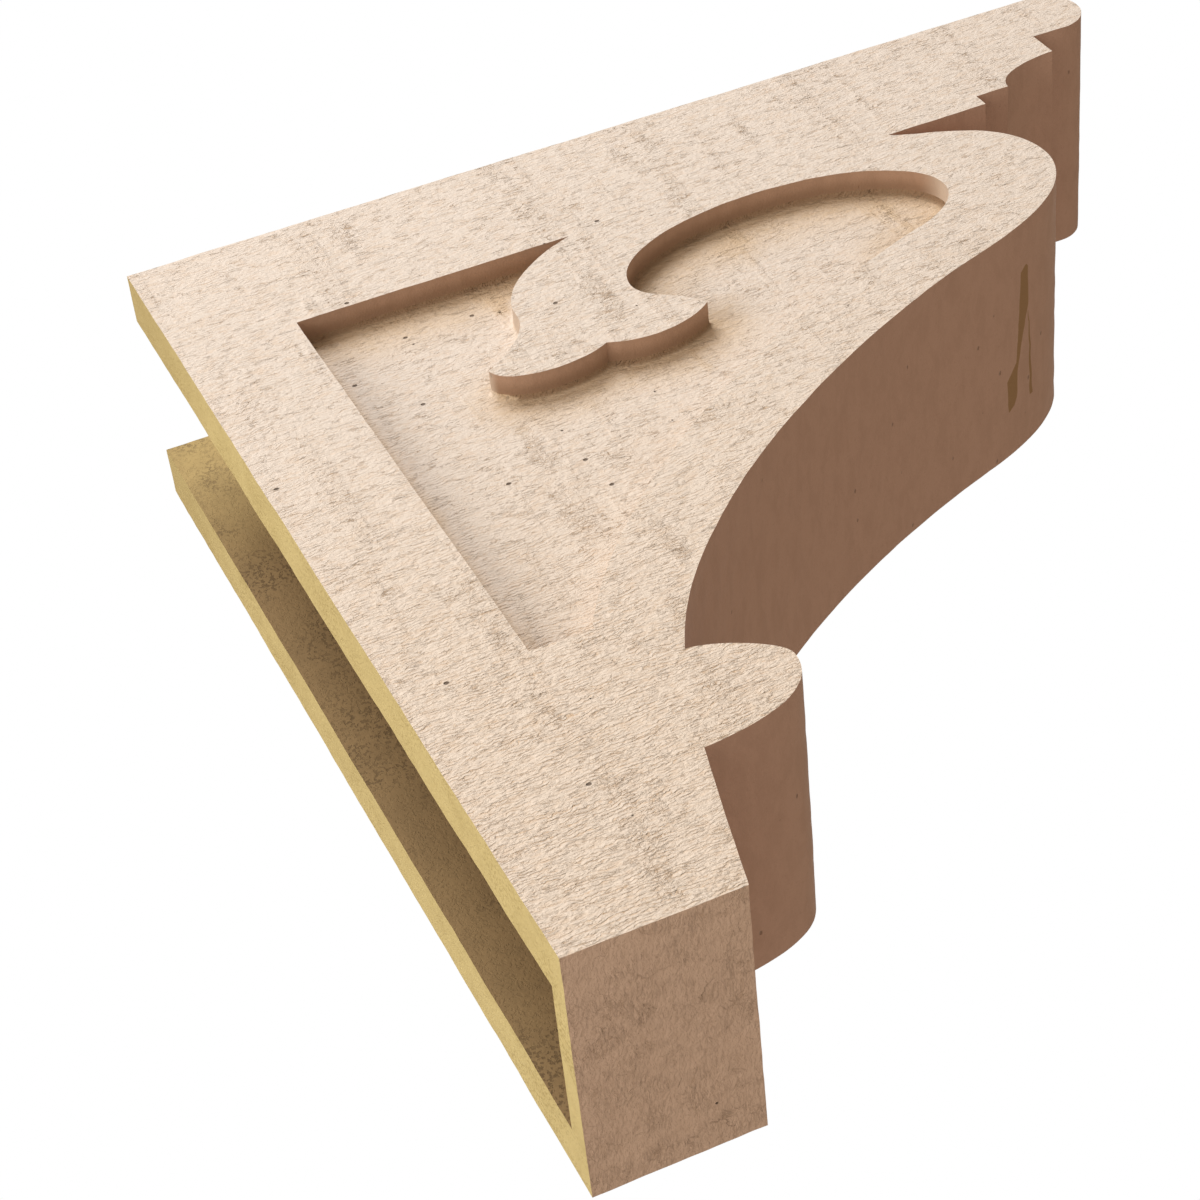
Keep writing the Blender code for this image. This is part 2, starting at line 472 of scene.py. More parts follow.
@dataclass
class SunkPanel:
    """The sunk panel on a flank, with the fishtail tongue that stays at face level."""

    profile: Profile
    depth: float = 12.7
    back_x: float = 56.2
    foot_z: float = -351.5
    soft_foot: float = 2.6
    # Painted shade: how far, in millimetres, the painted shade reaches from the top edge and the
    # arch, the tongue's lower edge, the back edge and the rim; faint is how strong it is along the
    # rim.
    top_shade: float = 46.0
    tongue_shade: float = 34.0
    side_shade: float = 11.5
    rim_shade: float = 4.5
    faint: float = 0.45
    arch_centre_x: float = 281.7
    arch_end: Point = (336.4, -162.7)
    tongue_start_x: float = 193.0
    tongue_neck: Point = (145.3, -130.0)
    back_tip: Point = (117.0, -165.0)
    tongue_cusp: Point = (171.0, -172.5)
    front_tip: Point = (223.5, -167.0)
    step: float = 2.7

    def tongue_back(self) -> list[Point]:
        """The tongue's side towards the wall, from the panel's top edge down to its tip.

        Returns:
            The points in order.
        """
        points = bezier((self.tongue_start_x, self.profile.cap_under_z), (170.0, -89.5),
                        (145.3, -108.0), self.tongue_neck, self.step)
        return points + bezier(self.tongue_neck, (145.3, -143.0), (133.0, -155.0),
                               self.back_tip, self.step)

    def tongue_foot(self) -> list[Point]:
        """The tongue's lower edge, from tip to tip over the cusp.

        Returns:
            The points in order.
        """
        points = bezier(self.back_tip, (120.0, -181.0), (155.0, -182.0),
                        self.tongue_cusp, self.step)
        return points + bezier(self.tongue_cusp, (184.0, -180.0), (208.0, -180.5),
                               self.front_tip, self.step)

    def tongue_front(self) -> list[Point]:
        """The tongue's short side from its front tip up to the arch."""
        neck = (self.arch_centre_x - 4.5 * self.profile.module, self.profile.belly_z)
        return bezier(self.front_tip, (216.0, -151.0), (neck[0], -150.0), neck, self.step)

    def arch(self) -> list[Point]:
        """The arch over the front half, and its turn down to the rim.

        Returns:
            The points in order.
        """
        reach, rise = 4.5 * self.profile.module, 2.25 * self.profile.module
        centre = (self.arch_centre_x, self.profile.belly_z)
        side = (self.arch_centre_x + reach, self.profile.belly_z)
        points = ellipse(centre, reach, rise, (180.0, 0.0), self.step)
        points += bezier(side, (side[0], -149.5), (347.5, -158.2), self.arch_end, self.step)
        return points

    def rim(self) -> list[Point]:
        """The edge that follows the long front curve, down to the panel's foot.

        Returns:
            The points in order.
        """
        front = [self.profile.sweep_join] + self.profile.sweep()
        moved = offset(front, 2.0 * self.profile.module)
        points = [p for p in moved if p[0] < self.arch_end[0] - 2.0 and p[1] > self.foot_z + 1.5]
        last = next(p for p in moved if p[1] <= self.foot_z + 1.5)
        return points + [(last[0], self.foot_z)]

    def back(self) -> list[Point]:
        """The edge beside the wall, from the panel's foot to its top corner."""
        top_z = self.profile.cap_under_z
        return straight((self.back_x, self.foot_z), (self.back_x, top_z), self.step)

    def top(self) -> list[Point]:
        """The top edge, from the corner beside the wall to the tongue."""
        top_z = self.profile.cap_under_z
        return straight((self.back_x, top_z), (self.tongue_start_x, top_z), self.step)

    def outline(self) -> list[Point]:
        """The panel's closed outline.

        Returns:
            The points in order.
        """
        points = self.back() + self.top() + self.tongue_back() + self.tongue_foot()
        points += self.tongue_front() + self.arch() + self.rim()
        return points + straight(points[-1], (self.back_x, self.foot_z), self.step)

    def painted_shade(self, points: np.ndarray, from_wall: np.ndarray) -> np.ndarray:
        """How strongly shade is painted on points of the floor, under the panel's edges and in its
        corners.

        Args:
            points: An array of n rows of (x, z).
            from_wall: Their distances to the panel's outline.

        Returns:
            n values, 1 at the foot of a wall and 0 out on the floor.
        """
        painted_shade = self.faint * (1.0 - from_wall / self.rim_shade)
        for line, reach in ((self.back(), self.side_shade), (self.top(), self.top_shade),
                            (self.tongue_foot()[6:], self.tongue_shade),
                            (self.arch(), self.top_shade)):
            gap = clearance(points, np.array(line), closed=False)
            painted_shade = np.maximum(painted_shade, 1.0 - gap / reach)
        return np.clip(painted_shade, 0.0, 1.0)


@dataclass
class Patch:
    """A stretch of surface before it is joined to the others.

    Each point can carry how strongly shade is painted on it in a panel's corner, from 0 to 1.
    """

    points: np.ndarray
    faces: list[tuple[int, ...]]
    skins: list[Skin]
    painted_shade: np.ndarray | None = None


def sheet(rows: np.ndarray, skins: list[Skin], closed: bool = False,
          open_cells: set[tuple[int, int]] | None = None) -> Patch:
    """A patch of quads from a grid of points.

    Args:
        rows: An array of n rows, m columns and 3 coordinates.
        skins: The finish of each of the row steps.
        closed: Whether the last row joins the first.
        open_cells: Cells that have no face, as (row, column).

    Returns:
        The patch.
    """
    count, width = rows.shape[:2]
    faces, finishes = [], []
    for i in range(count if closed else count - 1):
        after = (i + 1) % count
        for j in range(width - 1):
            if open_cells and (i, j) in open_cells:
                continue
            low, high = i * width + j, after * width + j
            faces.append((low, high, high + 1, low + 1))
            finishes.append(skins[i])
    return Patch(rows.reshape(-1, 3), faces, finishes)


def mesh_region(loops: list[list[Point]], extra: np.ndarray) -> tuple[np.ndarray, np.ndarray]:
    """Triangulates around closed loops and loose points.

    Args:
        loops: Closed loops whose edges are kept.
        extra: Loose points, as rows of (x, z).

    Returns:
        The points and the triangles.
    """
    points: list[Vector] = []
    edges: list[tuple[int, int]] = []
    for loop in loops:
        first = len(points)
        points.extend(Vector(p) for p in loop)
        edges.extend((first + i, first + (i + 1) % len(loop)) for i in range(len(loop)))
    points.extend(Vector(p) for p in extra)
    verts, _, faces, *_ = delaunay_2d_cdt(points, edges, [], 0, 1e-5)
    return np.array([v[:] for v in verts]), np.array(faces)


@dataclass
class CorbelBody:
    """The whole moulding: flanks, front band, panels and hollow, as one closed mesh.

    Fields that end in gap or size are spacings of the mesh and scales of its unevenness.
    """

    profile: Profile = field(default_factory=Profile)
    width: float = 127.0
    side_wall: float = 25.4
    row_gap: float = 1.78
    column_gap: float = 3.1
    edge_gap: float = 1.15
    foot_gap: float = 0.9
    foot_rings: tuple[float, ...] = (0.13, 0.35, 0.65, 1.0)
    wall_levels: int = 5
    wall_columns: int = 11
    hollow_columns: int = 29
    hollow_gap: float = 16.0
    hollow_edge_gap: float = 6.0
    hollow_span_x: Point = (8.0, 460.0)
    hollow_span_z: Point = (-490.0, -5.0)
    edge_fade: Point = (0.2, 2.6)
    calmer_from: Point = (-390.0, -110.0)
    calmer_by: float = 0.45
    slow_shift: float = 0.16
    slow_size: float = 31.0
    quick_shift: float = 0.10
    quick_size: float = 6.5

    @property
    def half(self) -> float:
        """Half the width."""
        return self.width / 2.0

    @property
    def inner(self) -> float:
        """Half the hollow's width."""
        return self.half - self.side_wall

    def columns(self) -> np.ndarray:
        """The y of each line across the width.

        Returns:
            The values in order.
        """
        wall = np.linspace(-self.half, -self.inner, self.wall_columns)
        middle = np.linspace(-self.inner, self.inner, self.hollow_columns)[1:-1]
        return np.concatenate([wall, middle, -wall[::-1]])

    def flank_grid(self, outline: np.ndarray, panel: np.ndarray, foot: float) -> np.ndarray:
        """Staggered loose points over a flank, and rings of them for the panel's soft foot.

        Args:
            outline: The corbel's outline.
            panel: The panel's outline.
            foot: The radius of the soft foot.

        Returns:
            The points as rows of (x, z).
        """
        low, high = outline.min(0), outline.max(0)
        grid = []
        for k, z in enumerate(np.arange(low[1] + self.row_gap, high[1], self.row_gap)):
            shift = self.column_gap * (0.25 if k % 2 else 0.75)
            xs = np.arange(low[0] + shift, high[0], self.column_gap)
            grid.append(np.column_stack([xs, np.full(len(xs), z)]))
        points = np.concatenate(grid)
        points = points[inside(points, outline)]
        points = points[clearance(points, outline) > self.edge_gap]
        gap = np.where(inside(points, panel), foot + self.foot_gap, self.edge_gap)
        points = points[clearance(points, panel) > gap]
        rings = []
        for share in self.foot_rings:
            ring = np.array(offset(panel.tolist() + [panel[0].tolist()], share * foot))
            ring = ring[inside(ring, panel)]
            rings.append(ring[clearance(ring, panel) > 0.93 * share * foot])
        return np.concatenate([points] + rings)

    def flanks(self, panel: SunkPanel) -> list[Patch]:
        """The two flanks with their panel floors.

        Args:
            panel: The sunk panel.

        Returns:
            Two patches for each flank.
        """
        outline = np.array(self.profile.outline()[0])
        sunk = np.array(panel.outline())
        extra = self.flank_grid(outline, sunk, panel.soft_foot)
        points, faces = mesh_region([outline.tolist(), sunk.tolist()], extra)
        middles = points[faces].mean(axis=1)
        on_floor = inside(middles, sunk)
        on_face = inside(middles, outline) & ~on_floor
        from_wall = clearance(points, sunk)
        fade = ramp(np.minimum(clearance(points, outline), from_wall), *self.edge_fade)
        short = np.clip(1.0 - from_wall / panel.soft_foot, 0.0, 1.0)
        foot = panel.soft_foot * (1.0 - np.sqrt(1.0 - short * short))
        # Painted shade in the panel's corners and under its edges, kept for the floor; the face
        # gets none.
        painted_shade = panel.painted_shade(points, from_wall)
        patches = []
        for flank in Flank:
            relief = SawnRelief(seed=11 + flank.value)
            calm = 1.0 - self.calmer_by * ramp(points[:, 1], *self.calmer_from)
            rise = relief.height(points[:, 0], points[:, 1]) * fade * calm
            floor = self.half - panel.depth + foot
            for level, chosen, shade in ((self.half, on_face, 0.0), (floor, on_floor, 1.0)):
                placed = np.column_stack([points[:, 0], flank.value * (level + rise), points[:, 1]])
                cells = [tuple(f) for f in faces[chosen]]
                patches.append(Patch(placed, cells, [Skin.FLANK] * len(cells), painted_shade * shade))
        return patches

    def panel_walls(self, panel: SunkPanel) -> list[Patch]:
        """The upright walls round the two sunk panels.

        Args:
            panel: The sunk panel.

        Returns:
            One patch for each flank.
        """
        loop = np.array(panel.outline())
        along = np.concatenate([[0.0], np.cumsum(np.linalg.norm(np.diff(loop, axis=0), axis=1))])
        run = np.roll(loop, -1, axis=0) - np.roll(loop, 1, axis=0)
        normal = np.column_stack([run[:, 1], -run[:, 0]]) / np.linalg.norm(run, axis=1)[:, None]
        levels = np.linspace(0.0, panel.depth - panel.soft_foot, self.wall_levels)
        relief = SawnRelief(seed=41, streak_depth=0.08, crumb_depth=0.08, wave_depth=0.0)
        patches = []
        for flank in Flank:
            rows = np.zeros((len(loop), len(levels), 3))
            for j, level in enumerate(levels):
                fade = 0.0 if j in (0, len(levels) - 1) else 1.0
                rise = relief.height(along, np.full(len(along), level + 30.0 * flank.value)) * fade
                moved = loop + normal * rise[:, None]
                rows[:, j] = np.column_stack([
                    moved[:, 0], np.full(len(loop), flank.value * (self.half - level)), moved[:, 1],
                ])
            wall = sheet(rows, [Skin.WALL] * len(loop), closed=True)
            # Painted shade that deepens down each wall to the panel's floor.
            wall.painted_shade = np.tile(levels / levels[-1], len(loop))
            patches.append(wall)
        return patches

    def band(self) -> Patch:
        """The front band, the foot and the open rims, once round the outline.

        Returns:
            The patch.
        """
        outline, runs = self.profile.outline()
        loop = np.array(outline)
        ys = self.columns()
        along = np.concatenate([[0.0], np.cumsum(np.linalg.norm(np.diff(loop, axis=0), axis=1))])
        ahead, behind = np.roll(loop, -1, axis=0) - loop, loop - np.roll(loop, 1, axis=0)
        ahead /= np.linalg.norm(ahead, axis=1)[:, None]
        behind /= np.linalg.norm(behind, axis=1)[:, None]
        corner = np.einsum("ij,ij->i", ahead, behind) < CORNER_TURN
        run = ahead + behind
        normal = np.column_stack([-run[:, 1], run[:, 0]])
        normal /= np.maximum(np.linalg.norm(normal, axis=1)[:, None], 1e-6)
        smooth = SawnRelief(seed=23, streak_length=34.0, streak_pitch=5.0, streak_depth=0.05,
                            crumb_size=8.0, crumb_depth=0.05, wave_depth=0.10)
        rough = SawnRelief(seed=29, streak_length=14.0, streak_pitch=4.0, streak_depth=0.12,
                           crumb_size=5.0, crumb_depth=0.22, wave_depth=0.08)
        grid_y, grid_s = np.meshgrid(ys, along)
        rise = smooth.height(grid_y, grid_s)
        is_foot = np.array([r is Run.FOOT for r in runs])
        rise[is_foot] = rough.height(grid_y, grid_s)[is_foot]
        is_rim = np.array([r in (Run.TOP, Run.BACK) for r in runs])
        rise[is_rim] = 0.0
        fade = ramp(self.half - np.abs(grid_y), *self.edge_fade)
        fade[corner] = 0.0
        rise *= fade
        rows = np.zeros((len(loop), len(ys), 3))
        rows[..., 0] = loop[:, 0:1] + normal[:, 0:1] * rise
        rows[..., 1] = grid_y
        rows[..., 2] = loop[:, 1:2] + normal[:, 1:2] * rise
        finish = {Run.TOP: Skin.FOAM, Run.FRONT: Skin.FRONT, Run.FOOT: Skin.FOOT,
                  Run.BACK: Skin.FOAM}
        mouth = self.mouth(loop, runs, ys)
        return sheet(rows, [finish[r] for r in runs], closed=True, open_cells=mouth)

    def mouth(self, loop: np.ndarray, runs: list[Run], ys: np.ndarray) -> set[tuple[int, int]]:
        """The cells of the band that the open top and the open back leave out.

        Args:
            loop: The outline.
            runs: The run that starts at each of its points.
            ys: The y of each line across the width.

        Returns:
            The cells as (row, column).
        """
        cells = set()
        for i, run in enumerate(runs):
            middle = (loop[i] + loop[(i + 1) % len(loop)]) / 2.0
            open_top = run is Run.TOP and middle[0] < self.profile.mouth_x
            open_back = run is Run.BACK and middle[1] > self.profile.foot_top_z
            if not (open_top or open_back):
                continue
            for j in range(len(ys) - 1):
                if abs(ys[j] + ys[j + 1]) / 2.0 < self.inner:
                    cells.add((i, j))
        return cells

    def hollow(self) -> list[Patch]:
        """The inside: two plain side walls and the back of the front wall.

        Returns:
            The three patches.
        """
        outline, runs = self.profile.outline()
        front = self.profile.hollow_front()
        last_x, last_z = self.profile.mouth_x - 0.01, self.profile.foot_top_z + 0.01
        top = [p for p, r in zip(outline, runs) if r is Run.TOP and p[0] < last_x]
        back = [p for p, r in zip(outline, runs) if r is Run.BACK and p[1] > last_z]
        loop = top + front + back
        edge = np.array(loop)
        xs = np.arange(*self.hollow_span_x, self.hollow_gap)
        xs, zs = np.meshgrid(xs, np.arange(*self.hollow_span_z, self.hollow_gap))
        extra = np.column_stack([xs.ravel(), zs.ravel()])
        extra = extra[inside(extra, edge)]
        extra = extra[clearance(extra, edge) > self.hollow_edge_gap]
        points, faces = mesh_region([loop], extra)
        faces = faces[inside(points[faces].mean(axis=1), edge)]
        patches = []
        for flank in Flank:
            placed = np.column_stack([
                points[:, 0], np.full(len(points), flank.value * self.inner), points[:, 1],
            ])
            patches.append(Patch(placed, [tuple(f) for f in faces], [Skin.HOLLOW] * len(faces)))
        ys = self.columns()
        ys = ys[np.abs(ys) < self.inner + 0.01]
        rows = np.zeros((len(front), len(ys), 3))
        rows[..., 0] = np.array(front)[:, 0:1]
        rows[..., 1] = ys[None, :]
        rows[..., 2] = np.array(front)[:, 1:2]
        patches.append(sheet(rows, [Skin.HOLLOW] * len(front)))
        return patches

    def unevenness(self, points: np.ndarray) -> np.ndarray:
        """Small shifts of every point, so that no edge is ruler-straight.

        Args:
            points: An array of n rows of (x, y, z).

        Returns:
            The shifts, in the same order.
        """
        noise = Ripple(77)
        shifts = np.zeros_like(points)
        x, y, z = points.T
        for axis in range(3):
            seed = 40.0 * axis
            slow = noise.at((x + 0.7 * y) / self.slow_size + seed,
                            (z - 0.6 * y) / self.slow_size + seed)
            quick = noise.at((x + 0.8 * y) / self.quick_size + seed + 9.0,
                             (z - 0.5 * y) / self.quick_size + seed)
            shifts[:, axis] = self.slow_shift * slow + self.quick_shift * quick
        return shifts

    def build(self) -> bpy.types.Object:
        """Joins the patches into one closed mesh.

        Returns:
            The moulding, in metres in the row frame.
        """
        panel = SunkPanel(self.profile)
        patches = self.flanks(panel) + self.panel_walls(panel) + [self.band()] + self.hollow()
        shape = bmesh.new()
        painted_shade_layer = shape.verts.layers.float.new(PAINTED_SHADE_LAYER)
        top = self.profile.height - self.profile.foot_wall / 2.0
        for patch in patches:
            placed = (patch.points + self.unevenness(patch.points) + (0.0, 0.0, top)) * MM
            used = sorted({v for f in patch.faces for v in f})
            verts = {v: shape.verts.new(placed[v]) for v in used}
            # Each point's painted shade, for the paints to read.
            if patch.painted_shade is not None:
                for v, vert in verts.items():
                    vert[painted_shade_layer] = patch.painted_shade[v]
            for corners, skin in zip(patch.faces, patch.skins):
                face = shape.faces.new([verts[v] for v in corners])
                face.material_index = skin.value
                face.smooth = True
        bmesh.ops.remove_doubles(shape, verts=shape.verts, dist=WELD)
        bmesh.ops.dissolve_degenerate(shape, edges=shape.edges, dist=SHORTEST_EDGE)
        bmesh.ops.recalc_face_normals(shape, faces=shape.faces)
        loose = sum(1 for edge in shape.edges if len(edge.link_faces) != 2)
        LOG.info("corbel body: %d faces, %d open edges", len(shape.faces), loose)
        data = bpy.data.meshes.new("corbel_body")
        shape.to_mesh(data)
        shape.free()
        data.set_sharp_from_angle(angle=math.radians(SHARP_ANGLE))
        body = bpy.data.objects.new("corbel_body", data)
        bpy.context.scene.collection.objects.link(body)
        return body

    def dress(self, body: bpy.types.Object) -> None:
        """Gives the moulding its finishes.

        Args:
            body: The moulding.
        """
        finishes: dict[Skin, Finish] = {
            Skin.FLANK: SawnPaint("flank_paint"),
            # Painted shade: the front band's brown base is the flank paint as it looks in shade.
            Skin.FRONT: CastPaint("front_paint", mark=BladeMark(), sheen=0.15),
            # Painted shade: the foot's browner base is the flank paint as it looks in the shade
            # underneath.
            Skin.FOOT: SawnPaint(
                "foot_paint", base=(0.76, 0.535, 0.395), crease=(0.53, 0.345, 0.225),
                grain=(430.0, 200.0, 430.0), waver=(300.0, 150.0, 300.0),
                lumps=(480.0, 260.0, 480.0), across=0, bands=(40.0, 7.0, 40.0),
                depth=0.85, holes=(), tears=(),
            ),
            # Painted shade: the rims' darker upper end stands for the weaker light there.
            Skin.FOAM: RawFoam("raw_foam"),
            # Painted shade and painted light: the walls' brown base and corner are the paint in
            # shade, and lit is painted light on walls turned up towards the light.
            Skin.WALL: CastPaint(
                "panel_wall_paint", base=(0.455, 0.29, 0.20), streak=(0.40, 0.25, 0.168),
                corner=(0.31, 0.19, 0.12), lit=(0.60, 0.485, 0.39),
            ),
            # Painted shade and painted light: the hollow's dark base is the raw foam in the shade
            # inside, and its paler upper end the light falling in through the open top.
            Skin.HOLLOW: RawFoam(
                "hollow_foam", base=(0.325, 0.215, 0.10), upper=(0.48, 0.355, 0.15),
                cell=(0.17, 0.11, 0.05), speckle=0.85,
            ),
        }
        for skin in Skin:
            body.data.materials.append(finishes[skin].make())


class Graph:
    """A short way to write a material's nodes."""

    def __init__(self, name: str) -> None:
        """Starts a material with only its output and shader.

        Args:
            name: The material's name.
        """
        self.material = bpy.data.materials.new(name)
        self.material.use_nodes = True
        self.tree = self.material.node_tree
        self.shader = self.tree.nodes["Principled BSDF"]

    def feed(self, socket: Socket, value: object) -> None:
        """Links a socket to another, or sets its value.

        Args:
            socket: The input.
            value: The other socket, or the value.
        """
        if isinstance(value, Socket):
            self.tree.links.new(value, socket)
        else:
            socket.default_value = value

    def add(self, kind: str, feeds: dict[str | int, object]) -> bpy.types.Node:
        """Adds a node.

        Args:
            kind: The node's type, after "ShaderNode".
            feeds: What goes into its inputs, by their names or places.

        Returns:
            The node.
        """
        node = self.tree.nodes.new("ShaderNode" + kind)
        for key, value in feeds.items():
            self.feed(node.inputs[key], value)
        return node

    def place(self) -> Socket:
        """The point on the object, in the row frame's metres."""
        return self.add("TexCoord", {}).outputs["Object"]

    def facing(self) -> Socket:
        """The surface's direction, in the row frame."""
        return self.add("TexCoord", {}).outputs["Normal"]

    def stretch(self, vector: object, scale: Triple, shift: Triple = (0.0, 0.0, 0.0)) -> Socket:
        """Scales and shifts coordinates."""
        feeds = {"Vector": vector, "Scale": scale, "Location": shift}
        return self.add("Mapping", feeds).outputs["Vector"]

    def noise(self, vector: object, scale: float = 1.0, detail: float = 3.0, rough: float = 0.55,
              twist: float = 0.0) -> Socket:
        """Cloudy noise, about 0.5 on average.

        Args:
            vector: The coordinates.
            scale: Its cells to a unit.
            detail: How many finer layers it has.
            rough: How strong the finer layers are.
            twist: How much it swirls.

        Returns:
            The noise.
        """
        feeds = {"Vector": vector, "Scale": scale, "Detail": detail, "Roughness": rough,
                 "Distortion": twist}
        return self.add("TexNoise", feeds).outputs["Fac"]

    def warp(self, vector: object, scale: float, amount: float) -> Socket:
        """Shakes coordinates with cloudy noise.

        Args:
            vector: The coordinates.
            scale: The noise's cells to a unit.
            amount: How far it moves them.

        Returns:
            The moved coordinates.
        """
        shake = self.add("TexNoise", {"Vector": vector, "Scale": scale, "Detail": 3.0})
        reach = (amount, amount, amount)
        node = self.add("VectorMath", {0: shake.outputs["Color"], 1: reach, 2: vector})
        node.operation = "MULTIPLY_ADD"
        return node.outputs["Vector"]

    def cells(self, vector: object, scale: float) -> bpy.types.Node:
        """Cells round scattered points."""
        return self.add("TexVoronoi", {"Vector": vector, "Scale": scale})

    def calc(self, operation: str, a: object, b: object = 0.0, c: object = 0.0) -> Socket:
        """One step of arithmetic.

        Args:
            operation: What it does.
            a: The first value.
            b: The second value.
            c: The third value.

        Returns:
            The result.
        """
        node = self.add("Math", {0: a, 1: b, 2: c})
        node.operation = operation
        return node.outputs[0]

    def times(self, a: object, b: object) -> Socket:
        """One value times another."""
        return self.calc("MULTIPLY", a, b)

    def plus(self, value: object, share: object, other: object) -> Socket:
        """A share of a value, added to another."""
        return self.calc("MULTIPLY_ADD", value, share, other)

    def step(self, value: object, low: float, high: float, out_low: float = 0.0,
             out_high: float = 1.0) -> Socket:
        """A smooth step between two levels.

        Args:
            value: The value.
            low: Where the step starts.
            high: Where it ends.
            out_low: The result before it.
            out_high: The result after it.

        Returns:
            The result.
        """
        node = self.add("MapRange", {"Value": value, "From Min": low, "From Max": high,
                                     "To Min": out_low, "To Max": out_high})
        node.interpolation_type = "SMOOTHSTEP"
        return node.outputs["Result"]

    def share(self, value: object, low: float, high: float) -> Socket:
        """Where a value lies between two levels, from 0 to 1."""
        feeds = {"Value": value, "From Min": low, "From Max": high}
        return self.add("MapRange", feeds).outputs["Result"]

    def curve(self, value: object, points: list[Point]) -> Socket:
        """Reads a line through points that run from (0, ...) to (1, ...).

        Args:
            value: The place along the line, from 0 to 1.
            points: The line's points, at least two.

        Returns:
            The line's height there.
        """
        node = self.add("FloatCurve", {"Value": value})
        line = node.mapping.curves[0]
        line.points[0].location = points[0]
        line.points[1].location = points[-1]
        for point in points[1:-1]:
            line.points.new(*point)
        for point in line.points:
            point.handle_type = "VECTOR"
        node.mapping.update()
        return node.outputs[0]

    def blend(self, share: object, a: object, b: object) -> Socket:
        """A colour between two others.

        Args:
            share: How much of the second it has, from 0 to 1.
            a: The first colour.
            b: The second colour.

        Returns:
            The colour.
        """
        node = self.add("Mix", {"Factor": share})
        node.data_type = "RGBA"
        for name, value in (("A", a), ("B", b)):
            socket = next(s for s in node.inputs if s.name == name and s.type == "RGBA")
            self.feed(socket, (*value, 1.0) if isinstance(value, tuple) else value)
        return next(s for s in node.outputs if s.type == "RGBA")

    def painted_shade(self) -> Socket:
        """How strongly shade is painted at the point, in a panel's corner, from 0 to 1.

        Returns:
            That strength, which the mesh keeps at its points.
        """
        node = self.add("Attribute", {})
        node.attribute_name = PAINTED_SHADE_LAYER
        return node.outputs["Fac"]

    def distance(self, vector: object, point: Triple) -> Socket:
        """The distance to a point.

        Args:
            vector: The coordinates.
            point: The point.

        Returns:
            The distance.
        """
        node = self.add("VectorMath", {0: vector, 1: point})
        node.operation = "DISTANCE"
        return node.outputs["Value"]

    def split(self, vector: object) -> tuple[Socket, ...]:
        """The three coordinates of a vector."""
        return tuple(self.add("SeparateXYZ", {0: vector}).outputs)

    def bump(self, height: object, reach: float) -> None:
        """Raises the surface by a height in units of reach, in metres."""
        node = self.add("Bump", {"Distance": reach, "Height": height})
        self.feed(self.shader.inputs["Normal"], node.outputs["Normal"])


@dataclass(frozen=True)
class Finish:
    """What every finish has: a name and how it becomes a material."""

    name: str

    def make(self) -> bpy.types.Material:
        """Builds the material."""
        raise NotImplementedError


@dataclass(frozen=True)
class BladeMark:
    """The thin dark mark under the belly, blade-shaped, with a hairline beside it.

    Its edges are (y, z) in millimetres in the row frame, from the tip inwards.
    """

    tone: Colour = (0.345, 0.195, 0.085)
    lower_edge: tuple[Point, ...] = (
        (-39.0, 317.6), (-36.6, 315.95), (-21.2, 315.5), (-7.8, 315.1), (0.8, 314.9),
        (11.6, 314.4), (19.3, 311.4), (32.3, 311.5), (37.4, 311.8),
    )
    upper_edge: tuple[Point, ...] = (
        (-39.0, 318.1), (-37.5, 318.7), (-16.4, 319.15), (-11.9, 318.6), (-2.4, 316.9),
        (10.3, 315.5), (16.7, 314.75), (31.9, 314.4), (35.4, 313.6), (37.4, 311.9),
    )
    hair_start: Point = (-11.9, 319.1)
    hair_end: Point = (37.4, 320.5)
    hair_width: tuple[float, float] = (0.2, 1.3)
    low_z: float = 310.0
    high_z: float = 322.0
    soft: float = 0.01

    def edge(self, g: Graph, along: Socket, points: tuple[Point, ...]) -> Socket:
        """The height of one edge of the blade, as a share of the mark's reach in z.

        Args:
            g: The material's nodes.
            along: The place along the blade, from 0 to 1.
            points: The edge's points.

        Returns:
            The share.
        """
        first, last = points[0][0], points[-1][0]
        rise = self.high_z - self.low_z
        line = [((y - first) / (last - first), (z - self.low_z) / rise) for y, z in points]
        return g.curve(along, line)

    def mask(self, g: Graph, place: Socket) -> Socket:
        """Where the mark is.

        Args:
            g: The material's nodes.
            place: The point on the object.

        Returns:
            1 on the mark and 0 elsewhere.
        """
        _, y, z = g.split(place)
        first, last = self.lower_edge[0][0], self.lower_edge[-1][0]
        along = g.share(y, first * MM, last * MM)
        drop = g.share(z, self.low_z * MM, self.high_z * MM)
        above = g.calc("SUBTRACT", drop, self.edge(g, along, self.lower_edge))
        below = g.calc("SUBTRACT", self.edge(g, along, self.upper_edge), drop)
        blade = g.times(g.step(above, -self.soft, self.soft), g.step(below, -self.soft, self.soft))
        slope = (self.hair_end[1] - self.hair_start[1]) / (self.hair_end[0] - self.hair_start[0])
        start_z = (self.hair_start[1] - slope * self.hair_start[0]) * MM
        gap = g.calc("ABSOLUTE", g.calc("SUBTRACT", z, g.plus(y, slope, start_z)))
        slim, broad = (0.5 * width * MM for width in self.hair_width)
        down = g.share(y, self.hair_start[0] * MM, self.hair_end[0] * MM)
        reach = g.plus(down, broad - slim, slim)
        hair = g.calc("LESS_THAN", gap, reach)
        hair = g.times(hair, g.calc("GREATER_THAN", y, self.hair_start[0] * MM))
        across = g.times(g.calc("GREATER_THAN", y, first * MM),
                         g.calc("LESS_THAN", y, last * MM))
        return g.times(g.calc("MAXIMUM", blade, hair), across)


